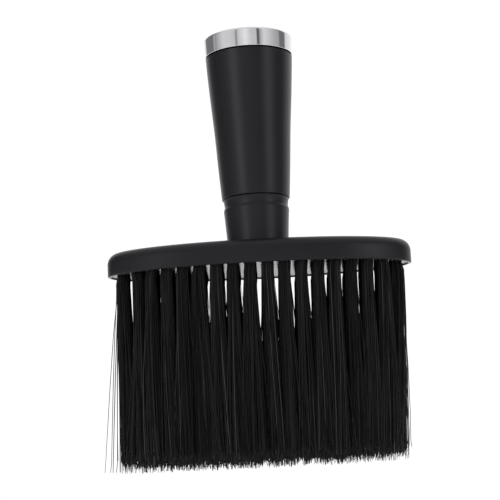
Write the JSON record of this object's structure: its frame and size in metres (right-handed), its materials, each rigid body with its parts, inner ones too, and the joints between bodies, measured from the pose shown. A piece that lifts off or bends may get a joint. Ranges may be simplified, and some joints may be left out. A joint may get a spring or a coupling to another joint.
{
  "type": "neck duster brush",
  "caption": "Wide oval neck duster: soft bristle tufts in a flat oval head, on a short tapered handle with a chromed end ring.",
  "frame": {"origin": "in the plane of the bristle tips, under the middle of the oval head", "axes": "+X along the long axis of the oval head, +Y across it, +Z from the bristle tips to the end of the handle"},
  "size_m": [0.114, 0.043, 0.1631],
  "materials": {
    "black_plastic": "fine matte",
    "bristle": "smooth nylon filament",
    "chrome": "mirror polished",
    "zinc_steel": "zinc plated"
  },
  "bodies": {
    "root": {"head_block": "black_plastic", "neck_collar": "black_plastic", "handle_shell": "black_plastic", "end_cap": "black_plastic", "chrome_ring": "chrome", "fixing_screw": "zinc_steel", "washer": "zinc_steel", "tuft_column_01": "bristle", "tuft_column_02": "bristle", "tuft_column_03": "bristle", "tuft_column_04": "bristle", "tuft_column_05": "bristle", "tuft_column_06": "bristle", "tuft_column_07": "bristle", "tuft_column_08": "bristle", "tuft_column_09": "bristle", "tuft_column_10": "bristle", "tuft_column_11": "bristle", "tuft_column_12": "bristle", "tuft_column_13": "bristle", "tuft_column_14": "bristle", "tuft_column_15": "bristle", "tuft_column_16": "bristle", "tuft_column_17": "bristle", "tuft_column_18": "bristle"}
  },
  "joints": []
}
